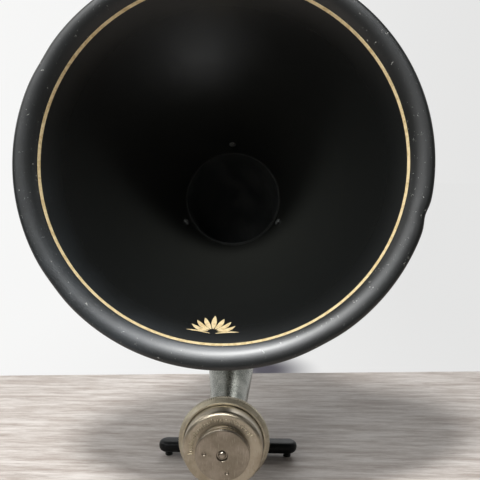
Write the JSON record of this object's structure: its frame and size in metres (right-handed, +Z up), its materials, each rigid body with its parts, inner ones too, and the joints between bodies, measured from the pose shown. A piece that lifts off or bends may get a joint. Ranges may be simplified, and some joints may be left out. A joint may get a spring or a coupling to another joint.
{
  "type": "horn loudspeaker",
  "caption": "Tabletop horn loudspeaker: a flared metal bell on a curved cast neck, with an adjustable electromagnetic driver in front and a cast foot.",
  "frame": {"origin": "bottom centre of the object's box, on the surface that it stands on", "axes": "+Z up, +X to the right seen from the front, +Y to the back; the mouth faces -Y and leans back 12.6 degrees"},
  "size_m": [0.3798, 0.396, 0.5107],
  "materials": {
    "black_enamel": "gloss",
    "black_casting": "satin",
    "cast_aluminium": "satin",
    "nickel_plate": "satin",
    "brass": "satin",
    "steel": "satin",
    "magnet_steel": "satin",
    "ebonite": "satin",
    "felt": "matte",
    "paper": "matte",
    "copper_wire": "satin"
  },
  "bodies": {
    "stand": {"foot_casting": "black_casting", "felt_pad_left": "felt", "felt_pad_right": "felt", "felt_pad_rear": "felt", "neck_casting": "cast_aluminium", "neck_bolt": "steel", "neck_bolt_washer": "steel", "bell": "black_enamel", "throat_gasket": "felt", "bell_screw_top": "black_enamel", "bell_screw_left": "black_enamel", "bell_screw_right": "black_enamel", "front_cap": "nickel_plate", "clamp_ring": "nickel_plate", "rear_housing": "nickel_plate", "neck_set_screw": "steel", "front_gasket": "paper", "diaphragm": "steel", "rear_gasket": "paper", "spindle_bush": "brass", "guide_pin_upper": "steel", "guide_pin_lower": "steel", "cord_inlet_bush": "ebonite", "terminal_block": "ebonite", "terminal_screw_left": "brass", "terminal_screw_right": "brass", "adjusting_spring": "steel"},
    "knob": {"adjusting_knob": "nickel_plate", "adjusting_spindle": "steel", "spindle_clip": "steel", "knob_screw": "brass"},
    "magnet_system": {"magnet_carrier": "brass", "permanent_magnet": "magnet_steel", "pole_piece_left": "steel", "pole_piece_right": "steel", "pole_screw_left": "steel", "pole_screw_right": "steel", "bobbin_left": "ebonite", "bobbin_right": "ebonite", "coil_left": "copper_wire", "coil_right": "copper_wire"}
  },
  "joints": [
    {"name": "knob_turn", "type": "hinge", "parent": "stand", "child": "knob", "pos_m": [0, -0.161, 0.0484], "axis": [0, -1, 0], "range_deg": [-135, 135]},
    {"name": "magnet_slide", "type": "slide", "parent": "stand", "child": "magnet_system", "axis": [0, 1, 0], "range_m": [-0.0003, 0.0003]}
  ],
  "couplings": [
    {"joint": "magnet_slide", "follows": "knob_turn", "m_per_rad": 0.00011937}
  ]
}
